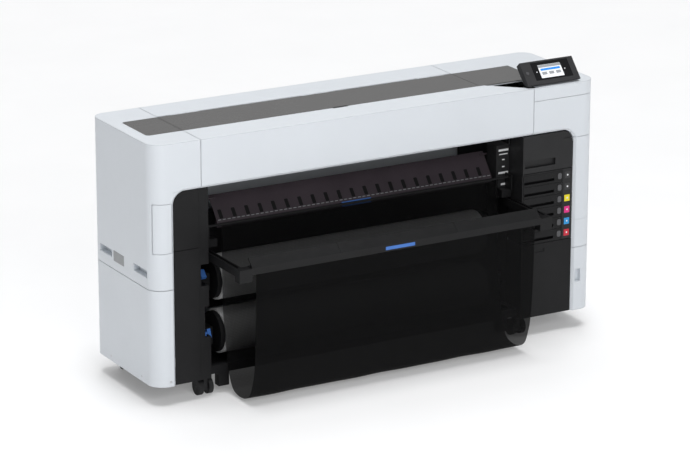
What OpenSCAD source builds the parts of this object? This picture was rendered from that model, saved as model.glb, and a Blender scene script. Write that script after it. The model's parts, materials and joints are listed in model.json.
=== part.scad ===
// Large format plotter: a wide roll-fed printer with two paper rolls, six ink trays,
// a tilting control panel and a cloth basket that slides out in front.
// X runs to the operator's right, Y runs from front to back, Z is up, and the floor is Z = 0.

/* [Body] */
// Overall width of the casing
body_w = 1909; // [1880:1:1940]
// Depth of the casing from front face to rear face
body_d = 501; // [495:1:520]
// Height of the casing's lower edge above the floor
body_z0 = 75; // [73:0.5:78]
// Height of the flat top above the floor
top_z = 995; // [992:0.5:1000]
// Radius of the casing's front corners, seen from above
front_r = 60; // [50:1:65]
// Radius of the casing's rear corners, seen from above
rear_r = 50; // [40:1:55]
// Wall thickness of the moulded covers
wall = 4; // [3:0.5:5]
// Width of the bevelled lip round the front opening
lip = 9; // [7:0.5:9.5]

/* [Front opening] */
// Left edge of the front opening
open_l = -868; // [-870:1:-866]
// Right edge of the front opening
open_r = 857; // [855:1:859]
// Top edge of the front opening
open_z = 812; // [810:1:813]
// Radius of the opening's top corners
open_corner = 50; // [40:1:55]

/* [Paper path] */
// X of the middle of the paper path
mid_x = -44; // [-45:1:-43]
// Width of the paper on a roll
paper_w = 1118; // [1100:1:1118]
// Outer radius of a full paper roll
roll_r = 85; // [60:1:85]
// Radius of the roll end flanges
flange_r = 77; // [70:1:80]
// Depth behind the front face of the upper roll's axis
roll1_d = 165; // [164:1:167]
// Height of the upper roll's axis
roll1_z = 408; // [405:1:410]
// Depth behind the front face of the lower roll's axis
roll2_d = 144; // [143:1:146]
// Height of the lower roll's axis
roll2_z = 205; // [203:1:207]

/* [Basket] */
// How far the basket's crossbar stands in front of the casing
basket_reach = 206; // [200:1:210]
// Height of the underside of the basket arms
arm_z = 520; // [515:1:522]
// Width of the basket cloth
cloth_w = 1194; // [1180:1:1196]
// Thickness of the basket cloth's solid
cloth_t = 2.5; // [2:0.5:3]

/* [Ink bay] */
// Left face of the ink tower
ink_l = 627; // [627:1:628]
// Height of the top tray's middle
tray_top_z = 629.7; // [628:0.1:631]
// Distance from one tray to the next
tray_pitch = 46.4; // [46:0.1:46.5]
// Depth of an ink tray behind its front
tray_len = 330; // [280:1:340]

/* [Control panel] */
// Left end of the control panel
panel_x = 650; // [645:1:655]
// Width of the control panel
panel_w = 237; // [230:1:240]
// Tilt of the control panel's face
panel_tilt = 48; // [47:1:49]

/* [Casters] */
// Radius of a caster wheel
wheel_r = 32; // [32:0.5:33]
// Width of one wheel of a twin pair
wheel_w = 18; // [15:1:18]

/* [Hidden] */
$fn = 64;
SHELLS = ["left_upper_cover", "left_lower_cover", "right_top_cover", "right_upper_cover",
    "right_middle_cover", "right_lower_cover", "rear_cover", "rear_top_cover", "top_glass_ends"];
FRONTS = ["left_front_panels", "left_bay_panel", "ink_bay_frame", "label_panel",
    "right_lower_panel"];
INSIDE = ["chassis_frame", "basket_rear_bar", "platen", "carriage_rail", "timing_belt",
    "control_board", "power_inlet", "roll_holders", "screws", "cloth_rear"];
MOVING = ["front_cover_shell", "front_cover_glass", "panel_housing", "panel_screen",
    "power_button", "left_door", "maintenance_door", "output_guide", "guide_handle",
    "print_carriage", "drive_pulley", "feed_roller"];
ROLLS = ["paper_roll_1", "paper_roll_2", "roll_1_flanges", "roll_2_flanges",
    "lock_lever_1", "lock_lever_2", "lock_lever_3"];
BASKET = ["basket_arms", "basket_crossbar", "cloth_front"];
TRAYS = ["ink_tray_1", "ink_tray_2", "ink_tray_3", "ink_tray_4", "ink_tray_5", "ink_tray_6"];
CASTERS = ["caster_1_fork", "caster_1_wheels", "caster_2_fork", "caster_2_wheels",
    "caster_3_fork", "caster_3_wheels", "caster_4_fork", "caster_4_wheels"];

half_w = body_w / 2;
front_y = basket_reach - (body_d + basket_reach) / 2;
roof = 8;             // thickness of the top deck
gap = 1.8;            // seam between neighbouring covers
seam_low = 445;       // height of the seam round both towers
seam_x = -755.5;      // seam between the left tower and the front cover
cover_r = 668;        // right end of the front cover
glass_seam = 510.5;   // right end of the cover's glass
glass_d0 = 139;       // front edge of the glass strip
glass_d1 = 348;       // rear edge of the glass strip
hinge_d = 351.6;      // depth of the front cover's hinge rod
hinge_z = top_z - 3.5;
strip_d = 355.4;      // front edge of the rear top cover
rod_r = 1.5;
run = 0.06;           // running clearance of a shaft in its bore
bay_l = -715;         // inner face of the left side plate
bay_r = 2 * mid_x - bay_l;
paper_l = mid_x - paper_w / 2;
paper_r = mid_x + paper_w / 2;
arm_w = 24;
arm_h = 30;
arm_l = -712;
arm_r = 2 * mid_x - arm_l;
arm_back = 100;
crossbar_back = 169;
tray_r = 812;
tray_h = 43.6;
column_x = 814;
shaft_d = 265;        // depth of the carriage's guide shaft
shaft_z = 850;
belt_d = 345;
belt_z = 905;
pulley_r = 15;
pulley_x = 838;
idler_x = -735;
feed_d = 300;
feed_z = 755;
stub_r = 8;
trail = 10;           // how far a caster's wheels run behind its swivel
CASTER_X = [-728, 640, -842, 842];
CASTER_D = [62, 62, 452, 452];

white = [0.9, 0.92, 0.94];
black = [0.14, 0.14, 0.15];
steel = [0.7, 0.71, 0.73];
blue = [0.25, 0.47, 0.82];
taupe = [0.42, 0.4, 0.38];

// Y of a point that lies a given depth behind the front face
function fy(d) = front_y + d;

module box(x0, x1, d0, d1, z0, z1) {
    translate([x0, fy(d0), z0]) cube([x1 - x0, d1 - d0, z1 - z0]);
}

// A bar of constant cross-section along X, its outline given as [depth, height] points
module bar_x(x0, x1, points) {
    translate([x0, front_y, 0]) rotate([90, 0, 90]) linear_extrude(x1 - x0) polygon(points);
}

// A round rod along X
module rod_x(x0, x1, d, z, r) {
    translate([x0, fy(d), z]) rotate([0, 90, 0]) cylinder(r = r, h = x1 - x0);
}

// Outline of the casing from above, drawn in by an inset
module plan(inset) {
    w = half_w - inset;
    fr = front_r - inset;
    rr = rear_r - inset;
    y0 = fy(inset);
    y1 = fy(body_d - inset);
    translate([-w, y0 + fr]) square([2 * w, y1 - rr - y0 - fr]);
    translate([-w + fr, y0]) square([2 * (w - fr), fr]);
    translate([-w + rr, y1 - rr]) square([2 * (w - rr), rr]);
    for (s = [-1, 1]) {
        translate([s * (w - fr), y0 + fr]) circle(r = fr);
        translate([s * (w - rr), y1 - rr]) circle(r = rr);
    }
}

// A stretch of the casing's wall between two X and two Z limits, with or without a deck
module casing(x0, x1, z0, z1, deck = 0, thick = wall) {
    intersection() {
        difference() {
            translate([0, 0, z0]) linear_extrude(z1 - z0) plan(0);
            translate([0, 0, z0 - 1]) linear_extrude(z1 - z0 + (deck > 0 ? 1 - deck : 2)) plan(thick);
        }
        box(x0, x1, -1, body_d + 1, z0, z1);
    }
}

// Straight-sided front opening with round top corners, drawn in by an inset
module opening_outline(inset) {
    x0 = open_l + inset;
    x1 = open_r - inset;
    z1 = open_z - inset;
    r = open_corner - inset;
    translate([x0, 0]) square([x1 - x0, z1 - r]);
    translate([x0 + r, z1 - r - 1]) square([x1 - x0 - 2 * r, r + 1]);
    translate([x0 + r, z1 - r]) circle(r = r);
    translate([x1 - r, z1 - r]) circle(r = r);
}

module opening_prism(inset, d0, d1) {
    translate([0, fy(d1), 0]) rotate([90, 0, 0]) linear_extrude(d1 - d0) opening_outline(inset);
}

// The opening with its bevel, for cutting the covers round it
module opening_cutter() {
    r = open_corner;
    opening_prism(0, -1, 40);
    bar_x(open_l + r, open_r - r, [[-1, open_z - 1], [lip, open_z - 1], [lip, open_z],
        [0, open_z + lip], [-1, open_z + lip]]);
    for (s = [0, 1]) {
        x = s == 0 ? open_l : open_r;
        side = s == 0 ? -1 : 1;
        translate([x, front_y, 0]) linear_extrude(open_z - r)
            polygon([[-side, -1], [-side, lip], [0, lip], [side * lip, 0], [side * lip, -1]]);
        translate([x - side * r, front_y, open_z - r]) rotate([-90, 0, 0])
            cylinder(r1 = r + lip, r2 = r, h = lip);
    }
}

// Thick edge behind the bevel on one side of the opening
module lip_wall(x0, x1, z0, z1) {
    box(x0, x1, wall / 2, 30, z0, z1);
}

// ---------------------------------------------------------------- outer covers

door_z0 = 585;
door_pin = [-940.8, 24.5];
door_z1 = 772;
grip_z0 = 488;
grip_z1 = 516;
GRIPS = [[54, 162], [341, 441]];

module grip_pocket(d0, d1, grow) {
    box(-half_w - 1, -half_w + 24 + grow, d0 - grow, d1 + grow, grip_z0 - grow, grip_z1 + grow);
}

module left_upper_cover() {
    color(white) difference() {
        union() {
            casing(-half_w, seam_x - gap, open_z + gap, top_z, roof);
            casing(-half_w, open_l, seam_low + gap, open_z + gap);
            lip_wall(open_l - 8, open_l + 2, seam_low + gap, open_z + 8);
            lip_wall(open_l - 8, open_l + open_corner, open_z - open_corner, open_z + 8);
            lip_wall(open_l, seam_x - gap, open_z - 4, open_z + 8);
            intersection() {
                for (g = GRIPS) grip_pocket(g[0], g[1], 3);
                box(-half_w + 1, -half_w + 40, 0, body_d, 0, top_z);
            }
        }
        opening_cutter();
        for (g = GRIPS) grip_pocket(g[0], g[1], 0);
        box(-950, open_l - 9, -1, 28.4, door_z0, door_z1);
        door_pins(1.2 + run, 4.4);
        glass_pocket(-903, seam_x + 1, 0);
    }
}

// Shallow bed for the end of the glass strip, round at its outer corners
module glass_pocket(x0, x1, inset) {
    r = 14;
    z0 = top_z - 3.6 + inset;
    translate([0, 0, z0]) linear_extrude(4 - inset * 2) {
        translate([x0 + r, fy(glass_d0 + inset)])
            square([x1 - x0 - r - inset, glass_d1 - glass_d0 - 2 * inset]);
        translate([x0 + inset, fy(glass_d0 + r)]) square([r + 1, glass_d1 - glass_d0 - 2 * r]);
        for (d = [glass_d0 + r, glass_d1 - r]) translate([x0 + r, fy(d)]) circle(r = r - inset);
    }
}

module left_lower_cover() {
    color(white) difference() {
        union() {
            casing(-half_w, open_l, body_z0, seam_low);
            lip_wall(open_l - 8, open_l + 2, body_z0, seam_low);
        }
        opening_cutter();
        left_screw_holes();
    }
}

// Corner of the front cover's deck: the white runs back on a slant beside the control panel
SLANT = [[glass_seam + gap, 156], [cover_r + gap, 12]];

module right_deck_outline() {
    polygon([[glass_seam + gap, fy(body_d)], [glass_seam + gap, fy(SLANT[0][1] + 1.5)],
        [649 + gap, fy(30)], [649 + gap, fy(wall + gap)], [cover_r + gap, fy(wall + gap)],
        [cover_r + gap, fy(-1)],
        [half_w, fy(-1)], [half_w, fy(body_d)]]);
}

module right_top_cover() {
    color(white) panel_hinge();
    color(white) difference() {
        union() {
            intersection() {
                difference() {
                    translate([0, 0, 944]) linear_extrude(top_z - 944) plan(0);
                    translate([0, 0, 943]) linear_extrude(top_z - 943 - roof) plan(wall);
                }
                translate([0, 0, 940]) linear_extrude(60) right_deck_outline();
            }
        }
        box(glass_seam, 770, glass_d0, glass_d1, top_z - 3.6, top_z + 1);
        scoop_wedge();
    }
}

// Recess that deepens from the end of the glass towards the control panel
scoop_depth = 22;
scoop_r = 700;

module scoop_wedge() {
    intersection() {
        translate([0, 0, top_z - 30]) linear_extrude(31)
            polygon([[glass_seam + 17, fy(glass_d0 + 1)], [cover_r - 2, fy(11)], [scoop_r, fy(11)],
                [scoop_r, fy(glass_d0 + 1)]]);
        translate([glass_seam, fy(0), top_z - 0.5])
            rotate([0, atan(scoop_depth / (scoop_r - glass_seam)), 0])
            cube([400, 200, 40]);
    }
}

module right_upper_cover() {
    color(white) difference() {
        union() {
            casing(cover_r + gap, half_w, 779, 943);
            intersection() {
                casing(glass_seam + gap, half_w, 779, 943);
                box(0, half_w, 300, body_d, 700, top_z);
            }
            lip_wall(cover_r + gap, open_r, open_z - 4, open_z + 8);
            lip_wall(open_r - open_corner, open_r + 8, 779, open_z + 8);
            box(cover_r + gap, cover_r + gap + wall, 0.5, 40, open_z, 943);
        }
        opening_cutter();
        rod_x(830, 847, door_pin_d, door_pin_z, 2 + run);
        box(0, open_r, 400, body_d + 1, 700, open_z + gap);
    }
}

module right_middle_cover() {
    color(white) difference() {
        union() {
            casing(open_r, half_w, 333, 778);
            lip_wall(open_r - 2, open_r + 8, 333, 778);
        }
        opening_cutter();
        difference() {
            translate([0, 0, seam_low]) linear_extrude(1.2) plan(-1);
            translate([0, 0, seam_low - 1]) linear_extrude(4) plan(1.2);
        }
    }
}

module right_lower_cover() {
    color(white) difference() {
        union() {
            casing(open_r, half_w, body_z0, 332);
            lip_wall(open_r - 2, open_r + 8, body_z0, 332);
            box(870, 900, 1, 19, 189, 245);
        }
        opening_cutter();
        box(873, 897, -1, 16, 192, 242);
    }
}

module rear_cover() {
    color(white) difference() {
        box(open_l + gap, open_r - gap, body_d - wall, body_d, body_z0 + 3, open_z - 0.5);
        for (i = [0:11]) {
            box(-690 + i * 18, -680 + i * 18, body_d - 9, body_d + 1, 320, 440);
            box(392 + i * 18, 402 + i * 18, body_d - 9, body_d + 1, 320, 440);
        }
        box(-832, -768, body_d - 9, body_d + 1, 148, 192);
    }
}

module rear_top_cover() {
    color(white) {
        box(seam_x, glass_seam, strip_d, body_d, top_z - 5, top_z);
        box(seam_x, glass_seam, body_d - wall, body_d, open_z + gap, top_z);
        for (x = BARRELS) {
            rod_x(x, x + 64, hinge_d, hinge_z, rod_r);
            rod_x(x + 62, x + 122, hinge_d, hinge_z, 3.3);
            box(x + 62, x + 122, hinge_d + 1, strip_d + 1, hinge_z - 1.5, hinge_z + 1.2);
        }
    }
}

module top_glass_ends() {
    color(taupe) {
        glass_pocket(-903, seam_x - gap, 0.4);
        box(glass_seam + gap, 769, glass_d0 + 0.6, glass_d1 - 0.4, top_z - 3.2, top_z - 0.2);
    }
}

// ---------------------------------------------------------------- dark front panels

panel_d = 7;
bay_edge = -764;      // left edge of the strip beside the rolls
strip_r = -725.5;     // right edge of that strip

module left_front_panels() {
    color(black) intersection() {
        opening_prism(gap, panel_d, panel_d + 4);
        box(open_l, bay_edge - 1, 0, 20, 588, open_z);
    }
    color(black) box(open_l + gap, bay_edge - 1, panel_d, panel_d + 4, body_z0 + 1, 586);
}

// Strip that closes the front beside the rolls, with a notch in front of the upper lever;
// it is narrower beside the lower lever and thicker at the foot
module left_bay_panel() {
    color(black) difference() {
        union() {
            box(bay_edge, strip_r, 9, 60, 356, open_z - 1);
            box(bay_edge, -743, 9, 60, 238, 358);
            box(bay_edge, -719, 9, 34, body_z0 + 1, 240);
        }
        box(bay_edge + 3, strip_r - 3, 13, 61, 240, open_z);
        box(-758, strip_r + 1, 8, 61, 437, 520);
        box(-746.5, strip_r, 12, 61, 230, 359);
        box(bay_edge + 3, -722, 12, 35, body_z0, 236);
    }
}

module ink_bay_frame() {
    color(black) {
        difference() {
            box(ink_l, open_r - gap, panel_d + 1, 103, 373, 656);
            for (i = [0:5]) box(ink_l + 3.5, tray_r + 1, 0, 110, tray_z(i) - 22.4, tray_z(i) + 22.4);
            box(tray_r + 5, open_r - 5, 20, 110, 378, 650);
        }
        difference() {
            box(ink_l, ink_l + 3, panel_d - 2, 103, 650, 806);
            rod_x(ink_l - 1, ink_l + 4, door_pin_d, door_pin_z, 2 + run);
        }
        box(ink_l + 5, tray_r + 5, 360, 364, 373, 656);
        box(tray_r + 1, tray_r + 5, 103, 364, 373, 656);
    }
}

function tray_z(i) = tray_top_z - tray_pitch * i;

module label_panel() {
    color(black) difference() {
        box(568, ink_l - 0.5, 103, 172, 551.5, 757);
        box(571, ink_l, 106, 173, 555, 754);
    }
}

module right_lower_panel() {
    color(black) difference() {
        box(ink_l, open_r - gap, panel_d, 34, body_z0 + 1, 371);
        box(ink_l + 3, open_r - 5, panel_d + 4, 35, body_z0, 367);
        box(690, 732, panel_d - 1, panel_d + 2.5, 336, 352);
    }
}

// ---------------------------------------------------------------- inside

module chassis_frame() {
    color([0.3, 0.3, 0.32]) {
        difference() {
            union() {
                box(-905, 905, 36, 480, 80, 112);
                for (i = [0:3]) translate([CASTER_X[i], fy(CASTER_D[i] - trail), 76])
                    cylinder(r = 18, h = 5);
            }
            box(-690, 610, 60, 420, 84, 113);
            box(-840, -740, 90, 420, 79, 113);
            box(660, 840, 90, 420, 79, 113);
            for (i = [0:3]) translate([CASTER_X[i], fy(CASTER_D[i] - trail), 70])
                cylinder(r = stem_r + run, h = 50);
        }
        for (x = [bay_l - 4, bay_r]) difference() {
            box(x, x + 4, 115, 480, 111, 785);
            rod_x(x - 1, x + 5, feed_d, feed_z, 10 + run);
            rod_x(x - 1, x + 5, guide_pin_d, guide_pin_z, 4 + run);
        }
        box(bay_l - 1, bay_r + 1, 262, 266, 260, 640);
        box(bay_l - 1, bay_r + 1, 200, 263, 636, 640);
        box(bay_l - 1, bay_r + 1, 262, 420, 256, 260);
    }
}

module basket_rear_bar() {
    color(black) {
        rod_x(-700, 598, 66, 641, 5);
        for (s = [0, 1]) translate([mid_x, 0, 0]) mirror([s, 0, 0]) translate([-mid_x, 0, 0]) {
            box(-702, -660, 66, 101, 560, 590);
            box(-702, -696, 58, 101, 588, 648);
            box(-714.6, -701, 78, s == 0 ? 130 : 101, 570, 586);
        }
        for (x = [-675, 544]) box(x, x + 43, 36, 68, 27, 79.6);
    }
}

module platen() {
    color([0.2, 0.2, 0.21]) difference() {
        box(-700, 620, 186, 284, 766, 786);
        box(-698, 618, 188, 282, 765, 780);
        for (i = [0:21]) box(-640 + i * 56, -634 + i * 56, 200, 270, 779, 787);
    }
}

module carriage_rail() {
    color(steel) {
        rod_x(-758, 860, shaft_d, shaft_z, 10);
        box(-758, 860, 372, 376, 785.5, 940);
        for (x = [-762, 858]) box(x, x + 4, 240, 376, 788, 940);
        for (x = [-750, 826]) box(x, x + 26, 330, 376, belt_z - 14, belt_z - 10);
        translate([idler_x, fy(belt_d), belt_z - 11]) cylinder(r = pulley_r, h = 20);
        translate([pulley_x, fy(belt_d), belt_z - 11]) cylinder(r = 3 - run, h = 24);
    }
}

module timing_belt() {
    color([0.1, 0.1, 0.1]) translate([0, fy(belt_d), belt_z]) linear_extrude(8) difference() {
        belt_outline(pulley_r + 2);
        belt_outline(pulley_r + 0.4);
    }
}

module belt_outline(r) {
    translate([idler_x, -r]) square([pulley_x - idler_x, 2 * r]);
    translate([idler_x, 0]) circle(r = r);
    translate([pulley_x, 0]) circle(r = r);
}

module control_board() {
    color([0.1, 0.4, 0.25]) {
        box(-935, -933, 200, 460, 520, 760);
        box(-933, -921, 240, 280, 600, 640);
        box(-933, -925, 320, 380, 560, 600);
        box(-933, -919, 410, 450, 540, 740);
        for (d = [215, 445], z = [535, 745]) rod_x(-950, -934, d, z, 4);
    }
}

module power_inlet() {
    color(black) difference() {
        box(-831, -769, 455, 500, 149, 191);
        box(-814, -786, 478, 501, 160, 181);
    }
}

// Roll end holders stand off the side plates; each has a bearing for the roll's stub
module holder(side, d, z) {
    inner = 26;
    translate([mid_x, 0, 0]) mirror([side, 0, 0]) translate([-mid_x, 0, 0]) difference() {
        union() {
            box(bay_l + 0.4, -655, d + 5, d + 70, z - 40, z + 28);
            box(-692, -655, d - inner, d + 6, z - 40, z + 28);
            rod_x(-708, -691, d - 12, z, 6);
        }
        rod_x(-660, -640, d, z, stub_r + run);
    }
}

module roll_holders() {
    color(black) for (side = [0, 1]) {
        holder(side, roll1_d, roll1_z);
        holder(side, roll2_d, roll2_z);
    }
}

pivot_d = 76;
pivot_z = top_z + 13;

// Two ears on the deck with the rod the control panel turns on
module panel_hinge() {
    for (x = [panel_x + 40, panel_x + panel_w - 52]) box(x, x + 12, pivot_d - 10, pivot_d + 10,
        top_z - 12, pivot_z + 10);
    rod_x(panel_x + 41, panel_x + panel_w - 41, pivot_d, pivot_z, 4);
}

SIDE_SCREWS = [[111, 94], [367, 94]];

module left_screw_holes() {
    for (s = SIDE_SCREWS) rod_x(-half_w - 1, -half_w + 2, s[0], s[1], 5);
    translate([-890, fy(2), 94]) rotate([90, 0, 0]) cylinder(r = 5, h = 4);
}

module screws() {
    color(steel) {
        for (s = SIDE_SCREWS) rod_x(-half_w + 0.6, -half_w + 2, s[0], s[1], 4.6);
        translate([-890, fy(2), 94]) rotate([90, 0, 0]) cylinder(r = 4.6, h = 1.4);
    }
}

// Half of the basket cloth hangs still from the rear bar and holds the pocket's bottom
CLOTH_REAR = [[66, 634], [66, 420], [60, 300], [46, 200], [30, 127], [12, 60], [-14, 24], [-45, 13],
    [-85, 13], [-118, 22], [-146, 46], [-166, 92], [-178, 140]];
CLOTH_FRONT = [[-178.6, 144], [-187, 230], [-192, 330], [-196, 525]];

function normal(p, q) = [q[1] - p[1], p[0] - q[0]] / norm(q - p);
function side_of(path, i, t) = path[i] + t * normal(path[max(i - 1, 0)], path[min(i + 1, len(path) - 1)]);
function ribbon(path, t) = concat([for (i = [0:len(path) - 1]) side_of(path, i, t / 2)],
    [for (i = [len(path) - 1:-1:0]) side_of(path, i, -t / 2)]);

module cloth(path) {
    bar_x(mid_x - cloth_w / 2, mid_x + cloth_w / 2, ribbon(path, cloth_t));
}

module cloth_rear() { color(black) cloth(CLOTH_REAR); }
module cloth_front() { color(black) cloth(CLOTH_FRONT); }

// ---------------------------------------------------------------- moving covers

BARRELS = [-700, -150, 360];

module front_cover_shell() {
    color(white) difference() {
        union() {
            box(seam_x, cover_r, 0, wall, open_z, top_z);
            box(seam_x, cover_r, wall / 2, 30, open_z, open_z + 8);
            translate([0, 0, top_z - 5]) linear_extrude(5)
                polygon([[seam_x, fy(0)], [cover_r, fy(0)], [cover_r, fy(wall)], [649, fy(wall)],
                    [649, fy(28)], [528, fy(glass_d0 - 0.8)], [glass_seam, fy(glass_d0 - 0.8)],
                    [glass_seam, fy(glass_d0 + 1)], [seam_x, fy(glass_d0 + 1)]]);
            box(seam_x, glass_seam - 0.6, glass_d0 - 12, glass_d1 - 8, top_z - 9, top_z - 4.2);
            for (x = BARRELS) {
                rod_x(x, x + 60, hinge_d, hinge_z, 3.3);
                bar_x(x, x + 60, [[glass_d1 - 20, top_z - 9], [glass_d1 - 20, top_z - 5],
                    [hinge_d, top_z - 4.4], [hinge_d, hinge_z - 2.8], [glass_d1 - 4, top_z - 9]]);
            }
            for (x = [seam_x, 640]) box(x, x + wall, 1, 40, open_z + 2, top_z - 1);
        }
        opening_cutter();
        box(seam_x + 25, glass_seam - 25, glass_d0 + 12, glass_d1 - 30, top_z - 12, top_z);
        for (x = BARRELS) rod_x(x - 1, x + 61, hinge_d, hinge_z, rod_r + run);
        box(seam_x - 1, glass_seam + 1, glass_d0, glass_d1 - 0.2, top_z - 3.6, top_z + 1);
    }
}

module front_cover_glass() {
    color(taupe) box(seam_x + 0.3, glass_seam - 0.3, glass_d0 + 0.4, glass_d1 - 0.6,
        top_z - 3.4, top_z - 0.2);
}

// Places its children in the frame of the control panel's face: X along the panel,
// Y up the slope and Z out of the face, with the origin at its lower left corner
module on_panel() {
    translate([panel_x, fy(13), top_z + 10.5]) rotate([panel_tilt, 0, 0]) children();
}

panel_h = 99.6;
panel_t = 26;
button_x = 18;
button_y = 52;
button_r = 6.5;

module panel_housing() {
    color(black) difference() {
        union() {
            intersection() {
                on_panel() translate([0, 0, -panel_t]) cube([panel_w, panel_h, panel_t]);
                box(panel_x, panel_x + panel_w, 0, 140, top_z + 5, top_z + 120);
            }
            rod_x(panel_x + 54, panel_x + panel_w - 54, pivot_d, pivot_z, 8);
            bar_x(panel_x + 54, panel_x + panel_w - 54, [[pivot_d, pivot_z - 8], [pivot_d + 4, pivot_z + 6],
                [pivot_d - 4, pivot_z + 26], [pivot_d - 26, pivot_z - 2]]);
        }
        rod_x(panel_x + 50, panel_x + panel_w - 50, pivot_d, pivot_z, 4 + run);
        on_panel() translate([44, 16, -2.2]) cube([168, 77, 5]);
        on_panel() translate([button_x, button_y, -9]) cylinder(r = button_r + 0.4, h = 12);
    }
}

module panel_screen() {
    color([0.05, 0.05, 0.06]) on_panel() translate([44.4, 16.4, -2]) cube([167.2, 76.2, 1.6]);
}

module power_button() {
    color([0.3, 0.3, 0.32]) on_panel() translate([button_x, button_y, -5]) cylinder(r = button_r, h = 6);
}

module door_pins(r, reach) {
    translate([door_pin[0], fy(door_pin[1]), door_z0 - reach]) cylinder(r = r, h = reach + 2);
    translate([door_pin[0], fy(door_pin[1]), door_z1 - 2]) cylinder(r = r, h = reach + 2);
}

module left_door() {
    color(white) {
        intersection() {
            casing(-950, open_l - 10, door_z0 + 1, door_z1 - 1, 0, 3.4);
            box(-950, open_l - 10, -1, 26, door_z0, door_z1);
        }
        door_pins(1.2, 4);
    }
}

door_top = 808;
door_pin_d = 9;
door_pin_z = 800;

module maintenance_door() {
    color(black) difference() {
        union() {
            box(ink_l + 3.6, open_r - 2, panel_d, panel_d + 4, 659, door_top);
            box(ink_l + 6, 779, panel_d + 3, 22, 676, 712);
            rod_x(ink_l + 0.5, 845, door_pin_d, door_pin_z, 2);
        }
        box(ink_l + 10, 775, panel_d - 1, 19, 680, 708);
        intersection() {
            box(open_r - 50, open_r, panel_d - 1, panel_d + 5, door_top - 46, door_top + 1);
            difference() {
                box(open_r - 50, open_r + 10, panel_d - 2, panel_d + 4.1, door_top - 46, door_top + 10);
                opening_prism(5, panel_d - 3, panel_d + 7);
            }
        }
        box(open_r - 44, open_r - 8, panel_d - 1, panel_d + 2, door_top - 30, door_top - 12);
    }
}

guide_l = -632;
guide_r = 558;
guide_d0 = 121;
guide_z0 = 638;
guide_tilt = 51;
guide_len = 105;
guide_pin_d = 178.5;
guide_pin_z = 709;
slot_pitch = 56;

module on_guide() {
    translate([guide_l, fy(guide_d0), guide_z0]) rotate([guide_tilt, 0, 0]) children();
}

module output_guide() {
    color([0.28, 0.25, 0.26]) {
        difference() {
            on_guide() translate([0, 0, -3]) cube([guide_r - guide_l, guide_len, 3]);
            for (i = [0:20]) on_guide() translate([18 + i * slot_pitch, 10, -4]) cube([9, 24, 6]);
        }
        bar_x(guide_l, guide_r, [[119, 611], [134, 611], [134, 640], [128, 645], [121.6, 637.2], [119, 630]]);
        rod_x(bay_l - 6, guide_l + 20, guide_pin_d, guide_pin_z, 4);
        rod_x(guide_r - 20, bay_r + 6, guide_pin_d, guide_pin_z, 4);
    }
}

module guide_handle() {
    color(blue) bar_x(mid_x - 62, mid_x + 62, [[111, 615], [118.6, 615], [118.6, 632], [114, 633]]);
}

park_x = 690;

module print_carriage() {
    color([0.16, 0.16, 0.18]) difference() {
        union() {
            box(park_x, park_x + 130, 205, 325, 800, 895);
            box(park_x + 50, park_x + 80, 300, belt_d - pulley_r - 2.6, 880, 915);
        }
        rod_x(park_x - 1, park_x + 131, shaft_d, shaft_z, 10 + run);
    }
}

module drive_pulley() {
    color(steel) translate([pulley_x, fy(belt_d), belt_z - 1]) difference() {
        union() {
            cylinder(r = pulley_r, h = 10);
            translate([0, 0, -1.6]) cylinder(r = pulley_r - 4, h = 13.2);
        }
        translate([0, 0, -3]) cylinder(r = 3, h = 20);
    }
}

module feed_roller() {
    color([0.25, 0.25, 0.26]) {
        rod_x(-700, 620, feed_d, feed_z, 14);
        rod_x(-727, 640, feed_d, feed_z, 10);
    }
}

// ---------------------------------------------------------------- paper rolls

module paper_roll(d, z) {
    color([0.85, 0.85, 0.86]) difference() {
        rod_x(paper_l, paper_r, d, z, roll_r);
        rod_x(paper_l - 1, paper_r + 1, d, z, 28);
    }
}

module roll_flanges(d, z) {
    color(black) for (side = [0, 1]) {
        translate([mid_x, 0, 0]) mirror([side, 0, 0]) translate([-mid_x, 0, 0]) {
            rod_x(paper_l - 44, paper_l - 26, d, z, flange_r);
            rod_x(paper_l - 27, paper_l - 0.2, d, z, 60);
            rod_x(paper_l - 2, paper_l + 60, d, z, 27.6);
            rod_x(-659, paper_l - 40, d, z, stub_r);
        }
    }
}

module paper_roll_1() { paper_roll(roll1_d, roll1_z); }
module paper_roll_2() { paper_roll(roll2_d, roll2_z); }
module roll_1_flanges() { roll_flanges(roll1_d, roll1_z); }
module roll_2_flanges() { roll_flanges(roll2_d, roll2_z); }

// Lever on a pin beside a roll holder; angle 0 points straight forward
module lever(x0, grip_x, grip_w, d, z, angle, length) {
    color(blue) translate([0, fy(d), z]) rotate([-angle, 0, 0]) translate([0, -fy(0), 0]) difference() {
        union() {
            rod_x(x0, x0 + 11, 0, 0, 12);
            box(x0, x0 + 11, -length + 10, -6, -7, 7);
            box(grip_x, grip_x + grip_w, -length, -length + 14, -17, 17);
            box(x0, grip_x + grip_w, -length + 4, -length + 14, -7, 7);
        }
        rod_x(x0 - 1, x0 + 12, 0, 0, 6 + run);
    }
}

module lock_lever_1() { lever(-706, -706, 20, roll1_d - 12, roll1_z, 45, 56); }
module lock_lever_2() { lever(-706, -692, 14, roll2_d - 12, roll2_z, 20, 46); }
module lock_lever_3() {
    translate([mid_x, 0, 0]) mirror([1, 0, 0]) translate([-mid_x, 0, 0])
        lever(-706, -706, 20, roll1_d - 12, roll1_z, 45, 56);
}

// ---------------------------------------------------------------- basket frame

module basket_arms() {
    color(black) for (x = [arm_l, arm_r - arm_w]) {
        difference() {
            box(x, x + arm_w, -crossbar_back, arm_back, arm_z, arm_z + arm_h);
            box(x + 6, x + arm_w - 6, -crossbar_back - 1, arm_back - 8, arm_z + arm_h - 7, arm_z + arm_h + 1);
        }
    }
}

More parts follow.
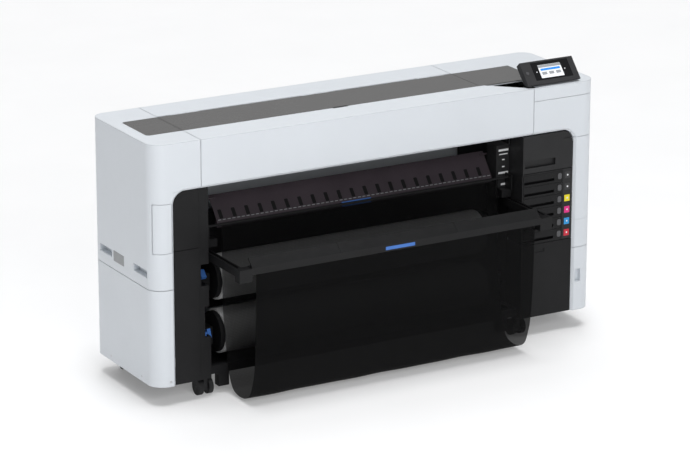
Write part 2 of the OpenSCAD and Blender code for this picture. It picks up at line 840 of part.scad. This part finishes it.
module basket_crossbar() {
    seam = 250;
    color(black) {
        for (x = [arm_l, arm_r - 52]) box(x, x + 52, -basket_reach, -crossbar_back, 500, arm_z + arm_h);
        box(arm_l + 50, arm_r - 50, -basket_reach, -crossbar_back - 4, 526, 553);
        for (s = [[-616, -seam - 0.6], [-seam + 0.6, seam - 0.6], [seam + 0.6, 616]]) {
            bar_x(mid_x + s[0], mid_x + s[1], [[-basket_reach, 553], [-basket_reach + 33, 583],
                [-basket_reach + 36, 580], [-basket_reach + 8, 553]]);
        }
    }
}

// ---------------------------------------------------------------- ink trays

module ink_tray(i) {
    z = tray_z(i);
    x0 = ink_l + 4.5;
    color(black) difference() {
        union() {
            box(x0, tray_r, panel_d, panel_d + 6, z - tray_h / 2, z + tray_h / 2);
            box(x0 + 3, tray_r - 3, panel_d + 5, tray_len, z - 20, z + 16);
        }
        box(x0 + 6, tray_r - 6, panel_d + 30, tray_len - 3, z - 17, z + 17);
        box(x0 + 4, tray_r - 40, panel_d - 1, panel_d + 18, z - 15, z - 4);
    }
}

module ink_tray_1() { ink_tray(0); }
module ink_tray_2() { ink_tray(1); }
module ink_tray_3() { ink_tray(2); }
module ink_tray_4() { ink_tray(3); }
module ink_tray_5() { ink_tray(4); }
module ink_tray_6() { ink_tray(5); }

// ---------------------------------------------------------------- casters

wheel_gap = 22;
axle_r = 4;
stem_r = 6;

module caster_fork(i) {
    color([0.15, 0.15, 0.16]) translate([CASTER_X[i], fy(CASTER_D[i]), 0]) {
        translate([0, -trail, 66.5]) cylinder(r = 20, h = 9);
        translate([0, -trail, 70]) cylinder(r = stem_r, h = 34);
        translate([-8, -trail - 12, wheel_r - 12]) cube([16, trail + 26, 47]);
        translate([-wheel_gap / 2 - wheel_w, 0, wheel_r]) rotate([0, 90, 0])
            cylinder(r = axle_r, h = wheel_gap + 2 * wheel_w);
    }
}

module caster_wheels(i) {
    color([0.1, 0.1, 0.1]) translate([CASTER_X[i], fy(CASTER_D[i]), wheel_r]) rotate([0, 90, 0])
        for (x = [-wheel_gap / 2 - wheel_w, wheel_gap / 2]) translate([0, 0, x]) difference() {
            cylinder(r = wheel_r, h = wheel_w);
            translate([0, 0, -1]) cylinder(r = axle_r + run, h = wheel_w + 2);
        }
}

module caster_1_fork() { caster_fork(0); }
module caster_2_fork() { caster_fork(1); }
module caster_3_fork() { caster_fork(2); }
module caster_4_fork() { caster_fork(3); }
module caster_1_wheels() { caster_wheels(0); }
module caster_2_wheels() { caster_wheels(1); }
module caster_3_wheels() { caster_wheels(2); }
module caster_4_wheels() { caster_wheels(3); }

left_upper_cover();
left_lower_cover();
right_top_cover();
right_upper_cover();
right_middle_cover();
right_lower_cover();
rear_cover();
rear_top_cover();
top_glass_ends();
left_front_panels();
left_bay_panel();
ink_bay_frame();
label_panel();
right_lower_panel();
chassis_frame();
basket_rear_bar();
platen();
carriage_rail();
timing_belt();
control_board();
power_inlet();
roll_holders();
screws();
cloth_rear();
front_cover_shell();
front_cover_glass();
panel_housing();
panel_screen();
power_button();
left_door();
maintenance_door();
output_guide();
guide_handle();
print_carriage();
drive_pulley();
feed_roller();
paper_roll_1();
paper_roll_2();
roll_1_flanges();
roll_2_flanges();
lock_lever_1();
lock_lever_2();
lock_lever_3();
basket_arms();
basket_crossbar();
cloth_front();
ink_tray_1();
ink_tray_2();
ink_tray_3();
ink_tray_4();
ink_tray_5();
ink_tray_6();
caster_1_fork();
caster_1_wheels();
caster_2_fork();
caster_2_wheels();
caster_3_fork();
caster_3_wheels();
caster_4_fork();
caster_4_wheels();
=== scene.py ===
import json
import math

import bmesh
import bpy
from mathutils import Matrix, Vector


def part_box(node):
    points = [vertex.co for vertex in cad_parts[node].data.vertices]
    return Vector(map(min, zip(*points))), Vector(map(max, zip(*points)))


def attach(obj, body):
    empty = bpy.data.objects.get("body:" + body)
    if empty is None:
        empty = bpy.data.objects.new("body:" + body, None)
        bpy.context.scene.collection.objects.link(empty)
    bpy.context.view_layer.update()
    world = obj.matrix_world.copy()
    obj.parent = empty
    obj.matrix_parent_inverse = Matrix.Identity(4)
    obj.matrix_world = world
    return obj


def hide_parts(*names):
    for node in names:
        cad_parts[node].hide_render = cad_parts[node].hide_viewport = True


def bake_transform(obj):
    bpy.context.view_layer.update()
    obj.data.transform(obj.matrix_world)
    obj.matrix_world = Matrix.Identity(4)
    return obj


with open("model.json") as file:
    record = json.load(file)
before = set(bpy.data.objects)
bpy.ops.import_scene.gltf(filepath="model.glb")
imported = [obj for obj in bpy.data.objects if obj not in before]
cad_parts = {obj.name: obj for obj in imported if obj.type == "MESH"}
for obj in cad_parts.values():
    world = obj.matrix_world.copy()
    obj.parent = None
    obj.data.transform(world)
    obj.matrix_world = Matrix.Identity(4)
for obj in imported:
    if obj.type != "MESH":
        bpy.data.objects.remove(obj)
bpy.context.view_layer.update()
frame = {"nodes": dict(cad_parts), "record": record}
NODES = frame["nodes"]

MM = 0.001
TO_METRES = Matrix.Diagonal(Vector((MM, MM, MM, 1.0)))  # for outlines drawn in millimetres
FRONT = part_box("left_lower_cover")[0][1]  # y of the casing's front face
MID_X = -0.044                            # middle of the paper path


def depth(d):
    """y of a point d millimetres behind the casing's front face."""
    return FRONT + d * MM


# ---------------------------------------------------------------- camera, floor and light

def look_from(position, yaw, pitch, roll, lens):
    forward = Vector((math.sin(yaw) * math.cos(pitch), math.cos(yaw) * math.cos(pitch), -math.sin(pitch)))
    right = Vector((math.cos(yaw), -math.sin(yaw), 0.0))
    up = right.cross(forward)
    turned_right = right * math.cos(roll) + up * math.sin(roll)
    turned_up = up * math.cos(roll) - right * math.sin(roll)
    data = bpy.data.cameras.new("camera")
    data.sensor_width = 36.0
    data.lens = lens
    data.clip_end = 100.0
    camera = bpy.data.objects.new("camera", data)
    bpy.context.scene.collection.objects.link(camera)
    turn = Matrix((turned_right, turned_up, -forward)).transposed().to_4x4()
    camera.matrix_world = Matrix.Translation(Vector(position)) @ turn
    bpy.context.scene.camera = camera


look_from((-6.0144, -10.3401, 4.2535), math.radians(29.876), math.radians(17.432),
          math.radians(0.079), 173.13)


def area_light(name, position, target, size, power, colour=(1.0, 1.0, 1.0)):
    data = bpy.data.lights.new(name, "AREA")
    data.shape = "RECTANGLE"
    data.size = size[0]
    data.size_y = size[1]
    data.energy = power
    data.color = colour
    light = bpy.data.objects.new(name, data)
    bpy.context.scene.collection.objects.link(light)
    light.location = position
    aim = Vector(target) - Vector(position)
    light.rotation_euler = aim.to_track_quat("-Z", "Y").to_euler()


def sun_light(name, towards, spread_deg, strength):
    data = bpy.data.lights.new(name, "SUN")
    data.energy = strength
    data.angle = math.radians(spread_deg)
    light = bpy.data.objects.new(name, data)
    bpy.context.scene.collection.objects.link(light)
    light.rotation_euler = Vector(towards).to_track_quat("Z", "Y").to_euler()


def studio():
    world = bpy.data.worlds.new("studio")
    world.use_nodes = True
    background = world.node_tree.nodes["Background"]
    background.inputs["Color"].default_value = (0.97, 0.985, 1.0, 1.0)
    background.inputs["Strength"].default_value = 0.29
    bpy.context.scene.world = world
    bpy.context.scene.view_settings.view_transform = "Standard"
    sun_light("top_light", (0.0, -0.05, 1.0), 30.0, 1.85)
    sun_light("back_light", (0.35, 0.75, 1.0), 40.0, 0.55)
    area_light("front_light", (-1.3, -4.9, 3.0), (-0.3, 0.0, 0.6), (3.2, 2.2), 112)


studio()


# ---------------------------------------------------------------- materials

def link(tree, a, out, b, into):
    tree.links.new(a.outputs[out], b.inputs[into])


def shader_base(name):
    m = bpy.data.materials.new(name)
    m.use_nodes = True
    tree = m.node_tree
    return m, tree, tree.nodes["Principled BSDF"]


def noise(tree, where, scale, detail=3.0, roughness=0.55):
    n = tree.nodes.new("ShaderNodeTexNoise")
    n.inputs["Scale"].default_value = scale
    n.inputs["Detail"].default_value = detail
    n.inputs["Roughness"].default_value = roughness
    link(tree, where, "Object", n, "Vector")
    return n


def spread(tree, source, low, high, start=0.3, end=0.7, out="Fac"):
    r = tree.nodes.new("ShaderNodeMapRange")
    r.inputs["From Min"].default_value = start
    r.inputs["From Max"].default_value = end
    r.inputs["To Min"].default_value = low
    r.inputs["To Max"].default_value = high
    tree.links.new(source.outputs[out], r.inputs["Value"])
    return r


def two_tones(tree, factor, dark, light):
    ramp = tree.nodes.new("ShaderNodeValToRGB")
    ramp.color_ramp.elements[0].color = (*dark, 1.0)
    ramp.color_ramp.elements[1].color = (*light, 1.0)
    tree.links.new(factor.outputs["Result"], ramp.inputs["Fac"])
    return ramp


def moulded(name, colour, rough=0.45, grain=1400.0, bump=0.12, mottle=0.06, metallic=0.0, coat=0.0,
            round_edges=0.0, specular=0.5):
    """Moulded plastic or painted metal: fine grain in the surface, slow drift in colour and gloss."""
    m, tree, base = shader_base(name)
    where = tree.nodes.new("ShaderNodeTexCoord")
    drift = spread(tree, noise(tree, where, 6.0, 4.0), 0.0, 1.0)
    dark = tuple(c * (1.0 - mottle) for c in colour)
    light = tuple(min(1.0, c * (1.0 + mottle)) for c in colour)
    link(tree, two_tones(tree, drift, dark, light), "Color", base, "Base Color")
    gloss = spread(tree, noise(tree, where, 40.0, 5.0), rough * 0.85, min(1.0, rough * 1.15))
    link(tree, gloss, "Result", base, "Roughness")
    bumps = tree.nodes.new("ShaderNodeBump")
    bumps.inputs["Strength"].default_value = bump
    bumps.inputs["Distance"].default_value = 0.0004
    link(tree, noise(tree, where, grain, 2.0), "Fac", bumps, "Height")
    if round_edges:
        edge = tree.nodes.new("ShaderNodeBevel")
        edge.samples = 4
        edge.inputs["Radius"].default_value = round_edges
        link(tree, edge, "Normal", bumps, "Normal")
    link(tree, bumps, "Normal", base, "Normal")
    base.inputs["Metallic"].default_value = metallic
    base.inputs["Specular IOR Level"].default_value = specular
    base.inputs["Coat Weight"].default_value = coat
    base.inputs["Coat Roughness"].default_value = 0.12
    return m


def brushed(name, colour, along, rough=0.32):
    m, tree, base = shader_base(name)
    where = tree.nodes.new("ShaderNodeTexCoord")
    stretch = tree.nodes.new("ShaderNodeMapping")
    stretch.inputs["Scale"].default_value = tuple(12.0 if a else 900.0 for a in along)
    link(tree, where, "Object", stretch, "Vector")
    lines = tree.nodes.new("ShaderNodeTexNoise")
    lines.inputs["Scale"].default_value = 1.0
    lines.inputs["Detail"].default_value = 4.0
    link(tree, stretch, "Vector", lines, "Vector")
    tone = spread(tree, lines, 0.0, 1.0)
    dark = tuple(c * 0.85 for c in colour)
    link(tree, two_tones(tree, tone, dark, colour), "Color", base, "Base Color")
    link(tree, spread(tree, lines, rough * 0.8, rough * 1.3), "Result", base, "Roughness")
    base.inputs["Metallic"].default_value = 1.0
    return m


def weave(name, colour, pitch=0.0009, see_through=0.27):
    """Sheer woven mesh: crossing threads with small holes that let some light through.

    Less light comes through from near the pocket's bottom onward."""
    m, tree, base = shader_base(name)
    where = tree.nodes.new("ShaderNodeUVMap")
    across = tree.nodes.new("ShaderNodeTexWave")
    across.bands_direction = "X"
    along = tree.nodes.new("ShaderNodeTexWave")
    along.bands_direction = "Y"
    for wave in (across, along):
        wave.inputs["Scale"].default_value = 1.0 / pitch / 20.0
        wave.inputs["Distortion"].default_value = 0.0
        link(tree, where, "UV", wave, "Vector")
    both = tree.nodes.new("ShaderNodeMath")
    both.operation = "MAXIMUM"
    link(tree, across, "Fac", both, 0)
    link(tree, along, "Fac", both, 1)
    threads = tree.nodes.new("ShaderNodeMapRange")
    threads.inputs["From Min"].default_value = 0.35
    threads.inputs["From Max"].default_value = 0.75
    tree.links.new(both.outputs[0], threads.inputs["Value"])
    dark = tuple(c * 0.85 for c in colour)
    link(tree, two_tones(tree, threads, dark, colour), "Color", base, "Base Color")
    bumps = tree.nodes.new("ShaderNodeBump")
    bumps.inputs["Strength"].default_value = 0.35
    bumps.inputs["Distance"].default_value = 0.0004
    link(tree, threads, "Result", bumps, "Height")
    link(tree, bumps, "Normal", base, "Normal")
    base.inputs["Roughness"].default_value = 0.62
    base.inputs["Specular IOR Level"].default_value = 0.05
    clear = tree.nodes.new("ShaderNodeBsdfTransparent")
    mix = tree.nodes.new("ShaderNodeMixShader")
    holes = tree.nodes.new("ShaderNodeMapRange")
    holes.inputs["To Min"].default_value = min(1.0, see_through * 1.15)
    holes.inputs["To Max"].default_value = see_through * 0.85
    link(tree, threads, "Result", holes, "Value")
    parts = tree.nodes.new("ShaderNodeSeparateXYZ")
    link(tree, where, "UV", parts, "Vector")
    dense = tree.nodes.new("ShaderNodeMapRange")
    dense.inputs["From Min"].default_value = 0.38
    dense.inputs["From Max"].default_value = 0.6
    dense.inputs["To Min"].default_value = 1.0
    dense.inputs["To Max"].default_value = 0.4
    link(tree, parts, "Y", dense, "Value")
    both_holes = tree.nodes.new("ShaderNodeMath")
    both_holes.operation = "MULTIPLY"
    link(tree, holes, "Result", both_holes, 0)
    link(tree, dense, "Result", both_holes, 1)
    link(tree, both_holes, "Value", mix, 0)
    link(tree, base, "BSDF", mix, 1)
    link(tree, clear, "BSDF", mix, 2)
    link(tree, mix, "Shader", tree.nodes["Material Output"], "Surface")
    return m


WHITE = moulded("white_cover", (0.70, 0.735, 0.775), 0.42, 1600.0, 0.10, 0.012, coat=0.1, round_edges=0.005,
                specular=0.35)
BLACK = moulded("black_cover", (0.0115, 0.0115, 0.0122), 0.46, 1300.0, 0.22, 0.12, round_edges=0.0015,
                specular=0.16)
SOFT_BLACK = moulded("black_satin", (0.009, 0.009, 0.0095), 0.4, 900.0, 0.18, 0.12, round_edges=0.0015,
                     specular=0.2)
FRAME = moulded("frame_paint", (0.010, 0.010, 0.011), 0.5, 700.0, 0.2, 0.15, specular=0.2)
WINDOW = moulded("tinted_window", (0.118, 0.115, 0.113), 0.2, 2500.0, 0.02, 0.03, coat=0.3, specular=0.3)
GUIDE = moulded("guide_plastic", (0.046, 0.036, 0.043), 0.38, 1200.0, 0.15, 0.12, round_edges=0.001,
                specular=0.35)
BLUE = moulded("blue_plastic", (0.045, 0.165, 0.52), 0.38, 1300.0, 0.15, 0.08, round_edges=0.0015)
GREY = moulded("grey_plastic", (0.075, 0.075, 0.08), 0.4, 1300.0, 0.15, 0.08, round_edges=0.001)
PALE_GREY = moulded("pale_grey_plastic", (0.30, 0.31, 0.32), 0.4, 1300.0, 0.12, 0.06, round_edges=0.001)
BELT = moulded("belt_rubber", (0.016, 0.016, 0.016), 0.7, 600.0, 0.3, 0.15, specular=0.2)
BOARD = moulded("board", (0.012, 0.11, 0.045), 0.35, 900.0, 0.12, 0.2, coat=0.4)
SCREEN = moulded("screen_glass", (0.006, 0.006, 0.007), 0.12, 2500.0, 0.01, 0.1, coat=0.2, specular=0.3)
PAPER = moulded("paper", (0.80, 0.80, 0.80), 0.72, 500.0, 0.06, 0.03)
CASTER = moulded("caster_plastic", (0.012, 0.012, 0.013), 0.45, 900.0, 0.2, 0.15, round_edges=0.001,
                 specular=0.3)
TREAD = moulded("tread_rubber", (0.014, 0.014, 0.015), 0.62, 500.0, 0.3, 0.2, round_edges=0.0015,
                specular=0.3)
FOAM = moulded("roller_rubber", (0.03, 0.03, 0.032), 0.75, 400.0, 0.4, 0.2)
STEEL = brushed("brushed_steel", (0.62, 0.63, 0.65), (1, 0, 0))
DOOR_BLACK = moulded("door_plastic", (0.019, 0.019, 0.020), 0.46, 1300.0, 0.22, 0.1, round_edges=0.0015,
                     specular=0.25)
PANEL_BLACK = moulded("panel_plastic", (0.034, 0.034, 0.036), 0.42, 1300.0, 0.2, 0.1, round_edges=0.0015,
                      specular=0.3)
CLOTH = weave("mesh_cloth", (0.0035, 0.0035, 0.0037))
PRINT_WHITE = moulded("print_white", (0.78, 0.79, 0.80), 0.5, 900.0, 0.03, 0.02)

CAD_MATERIALS = {
    "white_cover": WHITE, "black_cover": BLACK, "tinted_window": WINDOW, "frame_steel": FRAME,
    "bright_steel": STEEL, "guide_plastic": GUIDE, "blue_plastic": BLUE, "belt_rubber": BELT,
    "board": BOARD, "screen": SCREEN, "button": GREY, "mesh_cloth": CLOTH, "paper": PAPER,
    "caster_plastic": CASTER, "tread": TREAD, "foam_roller": FOAM,
}


def dress(node, material):
    for s in NODES[node].material_slots:
        s.material = material


def dress_frame():
    for row in frame["record"]["subparts"]:
        dress(row["node"], CAD_MATERIALS[row["material_slot"]])
    for name in ("basket_arms", "basket_crossbar"):
        dress(name, SOFT_BLACK)
    dress("carriage_rail", FRAME)
    dress("panel_housing", PANEL_BLACK)
    for name in ("maintenance_door", "ink_bay_frame", "label_panel"):
        dress(name, DOOR_BLACK)


dress_frame()


# ---------------------------------------------------------------- piece helpers

def add_piece(name, bm, material, body, smooth=False, place=None):
    mesh = bpy.data.meshes.new(name)
    bm.normal_update()
    bm.to_mesh(mesh)
    bm.free()
    if place is not None:
        mesh.transform(place)
    for face in mesh.polygons:
        face.use_smooth = smooth
    mesh.materials.append(material)
    piece = bpy.data.objects.new(name, mesh)
    bpy.context.scene.collection.objects.link(piece)
    if body:
        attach(piece, body)
    return piece


def block_into(bm, low, high, bevel=0.0, segments=2):
    part = bmesh.new()
    bmesh.ops.create_cube(part, size=1.0)
    size = [high[i] - low[i] for i in range(3)]
    centre = [(high[i] + low[i]) / 2 for i in range(3)]
    for v in part.verts:
        v.co = Vector([centre[i] + v.co[i] * size[i] for i in range(3)])
    if bevel:
        bmesh.ops.bevel(part, geom=part.edges[:], offset=bevel, segments=segments, affect="EDGES")
    copy = bpy.data.meshes.new("part")
    part.to_mesh(copy)
    part.free()
    bm.from_mesh(copy)
    bpy.data.meshes.remove(copy)


def rounded_outline(width, height, radius, steps=5):
    """Corner points of a rounded rectangle centred on the origin, anticlockwise."""
    points = []
    for corner, (sx, sy) in enumerate(((1, 1), (-1, 1), (-1, -1), (1, -1))):
        cx = sx * (width / 2 - radius)
        cy = sy * (height / 2 - radius)
        for i in range(steps + 1):
            a = math.pi / 2 * (corner + i / steps)
            points.append((cx + radius * math.cos(a), cy + radius * math.sin(a)))
    return points


def plate_into(bm, points, low, high):
    """A flat plate with the given outline in X and Y, between two heights."""
    bottom = [bm.verts.new((x, y, low)) for x, y in points]
    top = [bm.verts.new((x, y, high)) for x, y in points]
    bm.faces.new(list(reversed(bottom)))
    bm.faces.new(top)
    for i in range(len(points)):
        j = (i + 1) % len(points)
        bm.faces.new((bottom[i], bottom[j], top[j], top[i]))


def facing_front(x, d, z):
    """Local X to the right, local Y up and local Z out of a front face."""
    turn = Matrix(((1, 0, 0), (0, 0, -1), (0, 1, 0))).to_4x4()
    return Matrix.Translation(Vector((x * MM, depth(d), z * MM))) @ turn


def facing_left(x, d, z):
    """Local X towards the front, local Y up and local Z out of the left side."""
    turn = Matrix(((0, 0, -1), (-1, 0, 0), (0, 1, 0))).to_4x4()
    return Matrix.Translation(Vector((x * MM, depth(d), z * MM))) @ turn


PANEL_TILT = Matrix.Rotation(math.radians(48), 4, "X")
PANEL_PLACE = Matrix.Translation(Vector((0.650, depth(13), 1.0055))) @ PANEL_TILT


# ---------------------------------------------------------------- basket cloth

# Depth and height, in millimetres, of the cloth on its way from the rear bar to the crossbar
CLOTH_PATH = [
    (66, 646), (65.5, 560), (65, 420), (60, 300), (46, 200), (30, 127),
    (12, 62), (-12, 26), (-45, 13), (-85, 13), (-118, 22), (-146, 46),
    (-165, 92), (-178, 142), (-187, 230), (-192, 330), (-195, 430), (-197, 527),
]


def smooth_path(points, steps):
    out = []
    n = len(points)
    for i in range(n - 1):
        p0 = Vector(points[max(i - 1, 0)])
        p1 = Vector(points[i])
        p2 = Vector(points[i + 1])
        p3 = Vector(points[min(i + 2, n - 1)])
        for k in range(steps):
            t = k / steps
            out.append(0.5 * ((2 * p1) + (p2 - p0) * t + (2 * p0 - 5 * p1 + 4 * p2 - p3) * t * t
                              + (3 * p1 - p0 - 3 * p2 + p3) * t ** 3))
    out.append(Vector(points[-1]))
    return out


def basket_cloth():
    """One sheet from the rear bar, round the pocket, up to the crossbar."""
    width = 1.194
    columns = 120
    path = smooth_path(CLOTH_PATH, 6)
    lengths = [0.0]
    for a, b in zip(path, path[1:]):
        lengths.append(lengths[-1] + (b - a).length * MM)
    total = lengths[-1]
    bm = bmesh.new()
    uv = bm.loops.layers.uv.new("weave")
    rows = []
    for j, point in enumerate(path):
        s = lengths[j] / total
        row = []
        for i in range(columns + 1):
            u = i / columns
            slack = math.sin(math.pi * s) ** 2
            ripple = 0.9 * math.sin(u * 23.0 + s * 5.0) + 0.6 * math.sin(u * 41.0 - s * 9.0)
            x = MID_X + (u - 0.5) * width
            y = depth(point.x + ripple * slack)
            z = (point.y + ripple * 0.5 * slack) * MM
            row.append(bm.verts.new((x, y, z)))
        rows.append(row)
    for j in range(len(rows) - 1):
        for i in range(columns):
            face = bm.faces.new((rows[j][i], rows[j][i + 1], rows[j + 1][i + 1], rows[j + 1][i]))
            for loop, (a, b) in zip(face.loops, ((i, j), (i + 1, j), (i + 1, j + 1), (i, j + 1))):
                loop[uv].uv = (a / columns * width, lengths[b])
    sheet = add_piece("basket_cloth", bm, CLOTH, None, smooth=True)
    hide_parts("cloth_rear", "cloth_front")
    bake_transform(sheet)


basket_cloth()


# ---------------------------------------------------------------- control panel details

def panel_plate(name, x, y, width, height, radius, low, high, material):
    bm = bmesh.new()
    points = [(px + x, py + y) for px, py in rounded_outline(width, height, radius)]
    plate_into(bm, points, low, high)
    place = PANEL_PLACE @ TO_METRES
    return add_piece(name, bm, material, "control_panel", place=place)


def lit(name, colour, strength):
    m, tree, base = shader_base(name)
    where = tree.nodes.new("ShaderNodeTexCoord")
    tone = spread(tree, noise(tree, where, 300.0), 0.0, 1.0)
    shade = two_tones(tree, tone, tuple(c * 0.96 for c in colour), colour)
    link(tree, shade, "Color", base, "Base Color")
    link(tree, shade, "Color", base, "Emission Color")
    base.inputs["Emission Strength"].default_value = strength
    base.inputs["Roughness"].default_value = 0.2
    return m


LIT_WHITE = lit("display_white", (0.80, 0.82, 0.85), 0.3)
LIT_BLUE = lit("display_blue", (0.02, 0.2, 0.8), 0.6)
LIT_GREY = lit("display_grey", (0.3, 0.31, 0.33), 0.25)


def control_panel_details():
    panel_plate("display", 123.3, 51.8, 102, 56, 1.5, -0.6, -0.15, LIT_WHITE)
    panel_plate("display_title", 123.3, 73.5, 102, 11, 0.5, -0.2, 0.05, LIT_GREY)
    panel_plate("display_bar", 123.3, 59.5, 88, 9, 0.5, -0.2, 0.05, LIT_BLUE)
    for i in range(3):
        panel_plate(f"display_tile_{i + 1}", 92 + i * 31.3, 43.0, 22, 12, 1.5, -0.2, 0.05, LIT_GREY)
    for i, x in enumerate((60.2, 186.5)):
        panel_plate(f"touch_mark_{i + 1}", x, 51.8, 5, 5, 2.4, -0.6, -0.2, PRINT_WHITE)


control_panel_details()


# ---------------------------------------------------------------- ink bay details

TRAY_TOP = 629.7   # height of the middle of the top tray
TRAY_PITCH = 46.4  # from one tray to the next
TRAY_Z = [TRAY_TOP - TRAY_PITCH * i for i in range(6)]
TAGS = [
    ("dark", (0.02, 0.02, 0.022)), ("dark", (0.02, 0.02, 0.022)), ("yellow", (0.86, 0.72, 0.01)),
    ("magenta", (0.78, 0.012, 0.24)), ("cyan", (0.01, 0.30, 0.70)), ("red", (0.60, 0.01, 0.035)),
]


def front_plate(name, x, d, z, width, height, radius, out, material, body):
    bm = bmesh.new()
    plate_into(bm, rounded_outline(width, height, radius), -0.3, out)
    place = facing_front(x, d, z) @ TO_METRES
    return add_piece(name, bm, material, body, place=place)


def ink_bay_details():
    for i, z in enumerate(TRAY_Z):
        body = f"tray_{i + 1}"
        front_plate(f"tray_mark_{i + 1}", 797, 7, z, 17, 24, 6, 1.2, GREY, body)
        tag = moulded(f"tag_{TAGS[i][0]}_{i + 1}", TAGS[i][1], 0.4, 900.0, 0.04, 0.05)
        front_plate(f"colour_tag_{i + 1}", 833, 8, z, 24, 26, 1.5, 0.5, tag, "casing")
        front_plate(f"tag_dot_{i + 1}", 834, 7.5, z, 7, 7, 3, 0.2, PRINT_WHITE, "casing")


ink_bay_details()


def label_strip():
    rows = [(738, 44, 8, 1.0), (722, 38, 4, 1.0), (700, 12, 5, 2.0), (672, 12, 5, 2.0), (648, 44, 8, 1.0),
            (626, 16, 5, 2.0), (602, 20, 8, 2.0)]
    for i, (z, width, height, radius) in enumerate(rows):
        name = f"strip_mark_{i + 1}"
        front_plate(name, 600, 103, z, width, height, radius, 0.1, PRINT_WHITE, "casing")


label_strip()


# ---------------------------------------------------------------- output guide details

GUIDE_TILT = Matrix.Rotation(math.radians(51), 4, "X")
GUIDE_PLACE = Matrix.Translation(Vector((-0.632, depth(121), 0.638))) @ GUIDE_TILT


def guide_details():
    """Pale marks along the guide's lower edge and thin dark plates that cover its slots."""
    width = 1190.0
    margin = 12.0
    marks = 60
    slots = 21
    slot_pitch = 56.0
    bm = bmesh.new()
    for i in range(marks):
        x = margin + i * (width - 2 * margin) / (marks - 1)
        points = [(px + x, py + 1.4) for px, py in rounded_outline(12.5, 2.6, 0.8, 2)]
        plate_into(bm, points, -0.5, 0.5)
    place = GUIDE_PLACE @ TO_METRES
    add_piece("guide_edge_marks", bm, PALE_GREY, "output_guide", place=place)
    bm = bmesh.new()
    for i in range(slots):
        x = 22.5 + i * slot_pitch
        points = [(px + x, py + 24) for px, py in rounded_outline(15, 36, 3, 3)]
        plate_into(bm, points, -0.4, 0.6)
    add_piece("guide_slot_rims", bm, SOFT_BLACK, "output_guide", place=place)


guide_details()


# ---------------------------------------------------------------- paper roll ends

def tube_into(bm, x0, x1, radius, bore, steps=96):
    """A tube along X with its axis on the origin."""
    rings = []
    for x, r in ((x0, bore), (x0, radius), (x1, radius), (x1, bore)):
        ring = []
        for i in range(steps):
            a = 2 * math.pi * i / steps
            ring.append(bm.verts.new((x, r * math.cos(a), r * math.sin(a))))
        rings.append(ring)
    for k in range(4):
        a, b = rings[k], rings[(k + 1) % 4]
        for i in range(steps):
            j = (i + 1) % steps
            bm.faces.new((a[i], a[j], b[j], b[i]))
    bmesh.ops.recalc_face_normals(bm, faces=bm.faces[:])


def roll_ends():
    """Pale band between each roll's left flange and its paper."""
    for name, body, d, z in (("upper", "upper_roll", 165, 408), ("lower", "lower_roll", 144, 205)):
        bm = bmesh.new()
        tube_into(bm, MID_X - 0.5848, MID_X - 0.5593, 0.0845, 0.0602)
        place = Matrix.Translation(Vector((0.0, depth(d), z * MM)))
        add_piece(f"{name}_roll_end", bm, PAPER, body, place=place)


roll_ends()


# ---------------------------------------------------------------- left side details

def side_details():
    bm = bmesh.new()
    plate_into(bm, rounded_outline(86, 40, 2), -0.3, 0.5)
    place = facing_left(-954.5, 284.5, 499) @ TO_METRES
    add_piece("side_plate", bm, PALE_GREY, "casing", place=place)


side_details()


def window_grip():
    """Small finger grip at the front edge of the window."""
    bm = bmesh.new()
    plate_into(bm, rounded_outline(64, 13, 3), -0.4, 0.7)
    place = Matrix.Translation(Vector((-0.100, depth(140), 0.995))) @ TO_METRES
    add_piece("window_grip", bm, SOFT_BLACK, "front_cover", place=place)


window_grip()


def bay_liner():
    """Thin dark liner that closes the right tower's side beside the lower roll."""
    bm = bmesh.new()
    block_into(bm, Vector((0.6275, depth(35), 0.114)), Vector((0.6295, depth(114), 0.371)), 0.0003, 1)
    add_piece("bay_liner", bm, SOFT_BLACK, "casing")


bay_liner()


def crossbar_strip():
    low = Vector((-0.104, depth(-206.6), 0.532))
    high = Vector((0.021, depth(-205), 0.545))
    bm = bmesh.new()
    block_into(bm, low, high, 0.0004, 1)
    add_piece("crossbar_grip", bm, BLUE, "basket")


crossbar_strip()


# ---------------------------------------------------------------- floor

def floor():
    bm = bmesh.new()
    bmesh.ops.create_grid(bm, x_segments=1, y_segments=1, size=30.0)
    m, tree, base = shader_base("floor")
    where = tree.nodes.new("ShaderNodeTexCoord")
    tone = spread(tree, noise(tree, where, 2.0), 0.0, 1.0)
    link(tree, two_tones(tree, tone, (0.74, 0.74, 0.745), (0.76, 0.76, 0.765)), "Color", base, "Base Color")
    base.inputs["Emission Color"].default_value = (1.0, 1.0, 1.0, 1.0)
    base.inputs["Emission Strength"].default_value = 0.2
    base.inputs["Roughness"].default_value = 0.6
    base.inputs["Specular IOR Level"].default_value = 0.2
    piece = add_piece("floor", bm, m, None)


floor()
